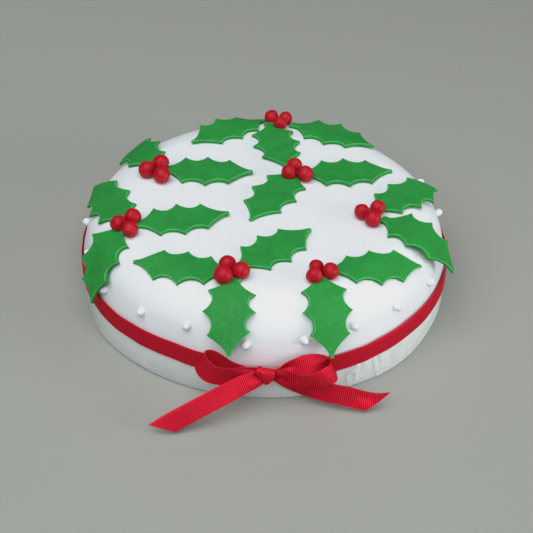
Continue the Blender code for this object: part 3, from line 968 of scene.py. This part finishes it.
class CAKE_OT_berries(Operator):
    """Roll the red berries, three to a sprig"""

    bl_idname = "cake.berries"
    bl_label = "Berries"

    def execute(self, context):
        settings = context.scene.cake_holly
        paste = berry_finish(settings)
        draw = random.Random(7)
        for sprig, berries, _ in SPRIGS:
            for number, (x, y, radius) in enumerate(berries, start=1):
                place = point_on_icing(x, y, radius - BERRY_SUNK)
                piece = add(
                    bpy.ops.mesh.primitive_ico_sphere_add, f"red_berry_{sprig}_{number}",
                    subdivisions=5, radius=radius * BERRY_FULLNESS * MM, location=place * MM,
                )
                piece.scale = [draw.uniform(0.97, 1.03) for _ in range(3)]
                piece.rotation_euler = [draw.uniform(0.0, 3.0) for _ in range(3)]
                apply_place(piece)
                for corner in piece.data.vertices:
                    point = corner.co / MM
                    lump = wander_over(point, BERRY_LUMPS, 11)
                    outward = (point - place).normalized()
                    corner.co += outward * (lump * settings.berry_lumps)
                smooth(piece)
                finish_piece(piece, paste, "red_sugar_paste", f"berry_{sprig}_{number}")
        return {"FINISHED"}


# ---- ribbon, bow and film


def smooth_run(stations):
    """Finer stations on a smooth curve through the given ones."""
    first = [2 * a - b for a, b in zip(stations[0], stations[1])]
    last = [2 * a - b for a, b in zip(stations[-1], stations[-2])]
    values = [first, *stations, last]
    run = []
    for before, start, end, after in zip(values, values[1:], values[2:], values[3:]):
        for step in range(STRIP_STEPS):
            t = step / STRIP_STEPS
            run.append([
                0.5 * (2 * b + (c - a) * t + (2 * a - 5 * b + 4 * c - d) * t ** 2
                       + (3 * b - a - 3 * c + d) * t ** 3)
                for a, b, c, d in zip(before, start, end, after)
            ])
    return [*run, stations[-1]]


def lengths_of(run):
    """How far along the middle of the strip each of its stations is."""
    middles = [Vector([a + b for a, b in zip(edges[:3], edges[3:])]) / 2 for edges in run]
    lengths = [0.0]
    for middle, following in zip(middles, middles[1:]):
        lengths.append(lengths[-1] + (following - middle).length)
    return lengths


def lay_strip(name, rows, columns, point_at):
    """A strip: point_at gives each point, and its place on the UV map, by row and share across."""
    piece = add_grid(name, rows, columns)
    spots = []
    for corner, row, column in grid_corners(piece, rows, columns):
        point, spot = point_at(row, column / columns)
        corner.co = point * MM
        spots.append(spot)
    layer = piece.data.uv_layers[0]
    layer.name = STRIP_MAP
    for loop in piece.data.loops:
        layer.data[loop.index].uv = spots[loop.vertex_index]
    return piece


def thicken(piece, thickness=RIBBON_THICKNESS, degrees=50.0):
    solidify = piece.modifiers.new("thickness", "SOLIDIFY")
    solidify.thickness = thickness * MM
    solidify.offset = 0.0
    only(piece)
    bpy.ops.object.modifier_apply(modifier=solidify.name)
    smooth(piece, degrees)


def lay_ribbon(name, stations, cut=0.0, crown=0.35, folds=0.75):
    """A ribbon through the stations, from its upper edge to its lower one, and its length.

    A cut makes the lower edge that much shorter, and the rows near the end lean towards it.
    """
    run = smooth_run(stations)
    lengths = lengths_of(run)
    leaning = cut + CUT_LEAN

    def point_at(row, share):
        reach = lengths[row]
        reach -= cut * share * max(0.0, (reach - lengths[-1] + leaning) / leaning)
        number = min(bisect_right(lengths, reach), len(run) - 1)
        station, following = run[number - 1], run[number]
        part = (reach - lengths[number - 1]) / (lengths[number] - lengths[number - 1])
        edges = [a + (b - a) * part for a, b in zip(station, following)]
        upper, lower = Vector(edges[:3]), Vector(edges[3:])
        along = Vector(following[:3]) + Vector(following[3:])
        along -= Vector(station[:3]) + Vector(station[3:])
        across = lower - upper
        face = along.normalized().cross(across.normalized())
        drawn = max(0.0, RIBBON_WIDTH - FOLD_SLACK - across.length) / RIBBON_WIDTH
        depth = folds * across.length / (math.pi * FOLDS_ACROSS) * math.sqrt(drawn)
        fold = depth * math.sin(share * FOLDS_ACROSS * math.tau + stations[0][0])
        bow = crown * 4.0 * share * (1.0 - share)
        point = upper + across * share + face * (fold + bow)
        return point, (reach * MM, share * RIBBON_WIDTH * MM)

    piece = lay_strip(name, len(run) - 1, STRIP_COLUMNS, point_at)
    thicken(piece)
    return piece, lengths[-1] * MM


def lay_round_cake(name, angles, columns, shape):
    """A strip round the cake: shape gives its radius, level and place by angle and share across."""

    def point_at(row, share):
        angle = math.radians(angles[row])
        radius, level, spot = shape(angle, angles[row], share)
        return Vector((radius * math.cos(angle), radius * math.sin(angle), level)), spot

    return lay_strip(name, len(angles) - 1, columns, point_at)


def band_shape(angle, degrees, share):
    """The ribbon at the side: drawn together at the bow, slightly rippled, leaning in on top."""
    drawn = math.exp(-((degrees - BOW_ANGLE) / BAND_DRAWN_REACH) ** 2)
    width = RIBBON_WIDTH + (BAND_DRAWN_WIDTH - RIBBON_WIDTH) * drawn
    level = BAND_BOTTOM + round_cake(BAND_RISES, degrees) + width * (1.0 - share)
    ripple = 0.08 * math.sin(angle * 23.0 + share * 2.0) + 0.05 * math.sin(angle * 41.0)
    radius = BAND_RADIUS + ripple - BAND_LEAN * max(0.0, level - BAND_LEAN_FROM)
    return radius, level, (angle * BAND_RADIUS * MM, share * RIBBON_WIDTH * MM)


def make_band():
    """The ribbon round the cake: a strip that runs once round the side and meets at the back."""
    angles = [step - 180.0 for step in range(361)]
    piece = lay_round_cake("ribbon_round_cake", angles, BAND_COLUMNS, band_shape)
    edit(piece, "VERT", "SELECT")
    bpy.ops.mesh.remove_doubles(threshold=0.00001)
    leave_facing_out()
    thicken(piece)
    return piece


class CAKE_OT_band(Operator):
    """Wrap the ribbed ribbon round the side of the cake"""

    bl_idname = "cake.band"
    bl_label = "Ribbon round the side"

    def execute(self, context):
        piece = make_band()
        cloth = ribbon_finish(context.scene.cake_ribbon, 0.55)
        finish_piece(piece, cloth, "red_ribbon", "ribbon_band")
        return {"FINISHED"}


class CAKE_OT_bow_knot(Operator):
    """Tie the knot of the bow: two wraps of ribbon over a drawn-up middle"""

    bl_idname = "cake.bow_knot"
    bl_label = "Bow knot"

    def execute(self, context):
        core = add(
            bpy.ops.mesh.primitive_uv_sphere_add, "bow_knot_tied", segments=32, ring_count=20,
            radius=MM, location=Vector(KNOT_CORE) * MM,
        )
        core.scale = KNOT_CORE_RADII
        apply_place(core)
        core.data.uv_layers[0].name = STRIP_MAP
        parts = [core]
        for name, stations in (("main_wrap", MAIN_WRAP), ("side_wrap", SIDE_WRAP)):
            parts.append(lay_ribbon(name, stations, crown=0.3, folds=0.0)[0])
        knot = join(parts)
        cloth = ribbon_finish(context.scene.cake_ribbon, 0.4)
        finish_piece(knot, cloth, "red_ribbon", "bow_knot")
        return {"FINISHED"}


class CAKE_OT_bow_loops(Operator):
    """Form the two loops of the bow"""

    bl_idname = "cake.bow_loops"
    bl_label = "Bow loops"

    def execute(self, context):
        cloth = ribbon_finish(context.scene.cake_ribbon)
        for side, stations in (("left", LEFT_LOOP), ("right", RIGHT_LOOP)):
            piece, length = lay_ribbon(f"ribbon_loop_{side}", stations, folds=1.1)
            finish_piece(piece, cloth, "red_ribbon", f"bow_loop_{side}")
        return {"FINISHED"}


class CAKE_OT_bow_tails(Operator):
    """Lay out the two tails of the bow, cut on the slant"""

    bl_idname = "cake.bow_tails"
    bl_label = "Bow tails"

    def execute(self, context):
        cloth = ribbon_finish(context.scene.cake_ribbon)
        tails = (("left", LEFT_TAIL, LEFT_TAIL_CUT), ("right", RIGHT_TAIL, RIGHT_TAIL_CUT))
        for side, stations, cut in tails:
            piece, length = lay_ribbon(f"ribbon_tail_{side}", stations, cut=cut)
            finish_piece(piece, cloth, "red_ribbon", f"bow_tail_{side}")
            RIBBON_WIDTH * MM * (length - cut / 2 * MM)
        return {"FINISHED"}


def make_film(settings):
    """The film, wrapped once round with a lap: smooth, but creased by the bow and at its right."""
    height = settings.top / MM - FILM_BOTTOM

    def shape(angle, degrees, share):
        lapped = max(0.0, degrees - FILM_START - 360.0 + 2.0) / (FILM_LAP + 2.0)
        from_bow = (degrees - BOW_ANGLE + 180.0) % 360.0 - 180.0
        creased = sum(
            strength * math.exp(-((from_bow - middle) / reach) ** 2)
            for middle, reach, strength in FILM_CREASES
        )
        level = FILM_BOTTOM + height * share
        radius = SIDE_RADIUS + foot_spread(level, degrees) + FILM_GAP + FILM_LAP_GAP * lapped
        side = Vector((math.cos(angle) * SIDE_RADIUS, math.sin(angle) * SIDE_RADIUS, level * 0.5))
        crease = max(0.0, 1.0 - abs(wander(side, FILM_CREASE_PITCH, 31)) * 3.2) ** 2 * creased
        crease *= min(1.0, max(0.0, (16.0 - level) / 5.0)) * min(1.0, level / 3.0)
        return radius + crease * settings.crinkle / MM, level, (angle, crease)

    angles = [
        FILM_START + (360.0 + FILM_LAP) * step / FILM_STEPS for step in range(FILM_STEPS + 1)
    ]
    piece = lay_round_cake("clear_wrap", angles, FILM_COLUMNS, shape)
    thicken(piece, FILM_THICKNESS, 180.0)
    return piece


class CAKE_OT_film(Operator):
    """Wrap the clear film round the foot of the cake"""

    bl_idname = "cake.film"
    bl_label = "Clear film"

    def execute(self, context):
        piece = make_film(context.scene.cake_film)
        finish_piece(piece, film_finish(), "clear_film", "clear_film")
        return {"FINISHED"}


# ---- floor, lights and camera


def right_and_up(ahead):
    """The level direction to the right of this one, and the one up from both."""
    right = ahead.cross(Vector((0, 0, 1))).normalized()
    return right, right.cross(ahead)


def camera_matrix():
    """The camera's place and axes: it looks at the origin, but for a small yaw, pitch and roll."""
    place = Vector(CAMERA_PLACE)
    ahead = -place.normalized()
    right, up = right_and_up(ahead)
    ahead = (ahead + right * math.tan(CAMERA_YAW) + up * math.tan(CAMERA_PITCH)).normalized()
    right, up = right_and_up(ahead)
    turned_right = right * math.cos(CAMERA_ROLL) + up * math.sin(CAMERA_ROLL)
    turned_up = up * math.cos(CAMERA_ROLL) - right * math.sin(CAMERA_ROLL)
    axes = Matrix((turned_right, turned_up, -ahead)).transposed().to_4x4()
    return Matrix.Translation(place * MM) @ axes


def add_soft_light(name, place, size, power, colour, spread):
    """A large square light that faces the cake and fans out by this many degrees."""
    lamp = add(bpy.ops.object.light_add, name, type="AREA", location=place)
    lamp.data.shape = "SQUARE"
    lamp.data.size = size
    lamp.data.energy = power
    lamp.data.color = colour
    lamp.data.spread = math.radians(spread)
    lamp.visible_camera = False
    towards = Vector((0, 0, 0.03)) - Vector(place)
    lamp.rotation_euler = towards.to_track_quat("-Z", "Y").to_euler()


def soften_highlights(view):
    """Plain colours, with a curve that holds the brightest parts below pure white."""
    view.view_transform = "Standard"
    view.use_curve_mapping = True
    mapping = view.curve_mapping
    mapping.clip_max_x = 4.0
    mapping.extend = "HORIZONTAL"
    curve = mapping.curves[3]
    curve.points[0].location = (0.0, 0.0)
    curve.points[1].location = (4.0, 0.97)
    for light, shown in HIGHLIGHTS:
        curve.points.new(light, shown)
    mapping.update()


class CAKE_OT_stage(Operator):
    """Set up the plain floor, the soft lights and the camera"""

    bl_idname = "cake.stage"
    bl_label = "Floor, lights and camera"

    def execute(self, context):
        settings = context.scene.cake_stage
        circle = bpy.ops.mesh.primitive_circle_add
        floor = add(circle, "floor", vertices=96, radius=4.0, fill_type="NGON")
        finish = Finish("plain_floor")
        finish.set("Base Color", (*settings.floor_colour, 1.0))
        finish.set("Roughness", 0.7)
        floor.data.materials.append(finish.material)
        world = bpy.data.worlds.new("pale_room")
        world.use_nodes = True
        background = world.node_tree.nodes["Background"]
        background.inputs["Color"].default_value = (1.0, 1.0, 0.975, 1.0)
        background.inputs["Strength"].default_value = settings.sky_strength
        context.scene.world = world
        add_soft_light(
            "main_light", (-0.42, -0.95, 2.15), 3.0, settings.key_power, (0.96, 0.985, 1.0), 180.0,
        )
        add_soft_light(
            "side_light", (1.42, -0.53, 0.30), 0.8, settings.side_power, (0.98, 0.99, 1.0), 60.0,
        )
        camera = add(bpy.ops.object.camera_add, "camera")
        camera.matrix_world = camera_matrix()
        camera.data.sensor_width = 36.0
        camera.data.lens = CAMERA_LENS
        context.scene.camera = camera
        soften_highlights(context.scene.view_settings)
        return {"FINISHED"}


class CAKE_PT_pieces(Panel):
    """Lists the pieces of the cake"""

    bl_idname = "CAKE_PT_pieces"
    bl_label = "Christmas cake"
    bl_space_type = "VIEW_3D"
    bl_region_type = "UI"
    bl_category = "Cake"

    def draw(self, context):
        column = self.layout.column(align=True)
        for operator in PIECES:
            column.operator(operator.bl_idname, text=operator.bl_label)


SETTINGS = {
    "cake_icing": IcingSettings,
    "cake_holly": HollySettings,
    "cake_ribbon": RibbonSettings,
    "cake_film": FilmSettings,
    "cake_stage": StageSettings,
}
PIECES = (
    CAKE_OT_icing, CAKE_OT_film, CAKE_OT_band, CAKE_OT_leaves, CAKE_OT_berries,
    CAKE_OT_bow_knot, CAKE_OT_bow_loops, CAKE_OT_bow_tails, CAKE_OT_stage,
)


def register():
    for name, group in SETTINGS.items():
        bpy.utils.register_class(group)
        setattr(bpy.types.Scene, name, bpy.props.PointerProperty(type=group))
    for operator in PIECES:
        bpy.utils.register_class(operator)
    bpy.utils.register_class(CAKE_PT_pieces)


def unregister():
    bpy.utils.unregister_class(CAKE_PT_pieces)
    for operator in reversed(PIECES):
        bpy.utils.unregister_class(operator)
    for name, group in SETTINGS.items():
        delattr(bpy.types.Scene, name)
        bpy.utils.unregister_class(group)


def main():
    register()
    bpy.ops.cake.icing()
    bpy.ops.cake.film()
    bpy.ops.cake.band()
    bpy.ops.cake.leaves()
    bpy.ops.cake.berries()
    bpy.ops.cake.bow_knot()
    bpy.ops.cake.bow_loops()
    bpy.ops.cake.bow_tails()
    bpy.ops.cake.stage()


if __name__ == "__main__":
    main()
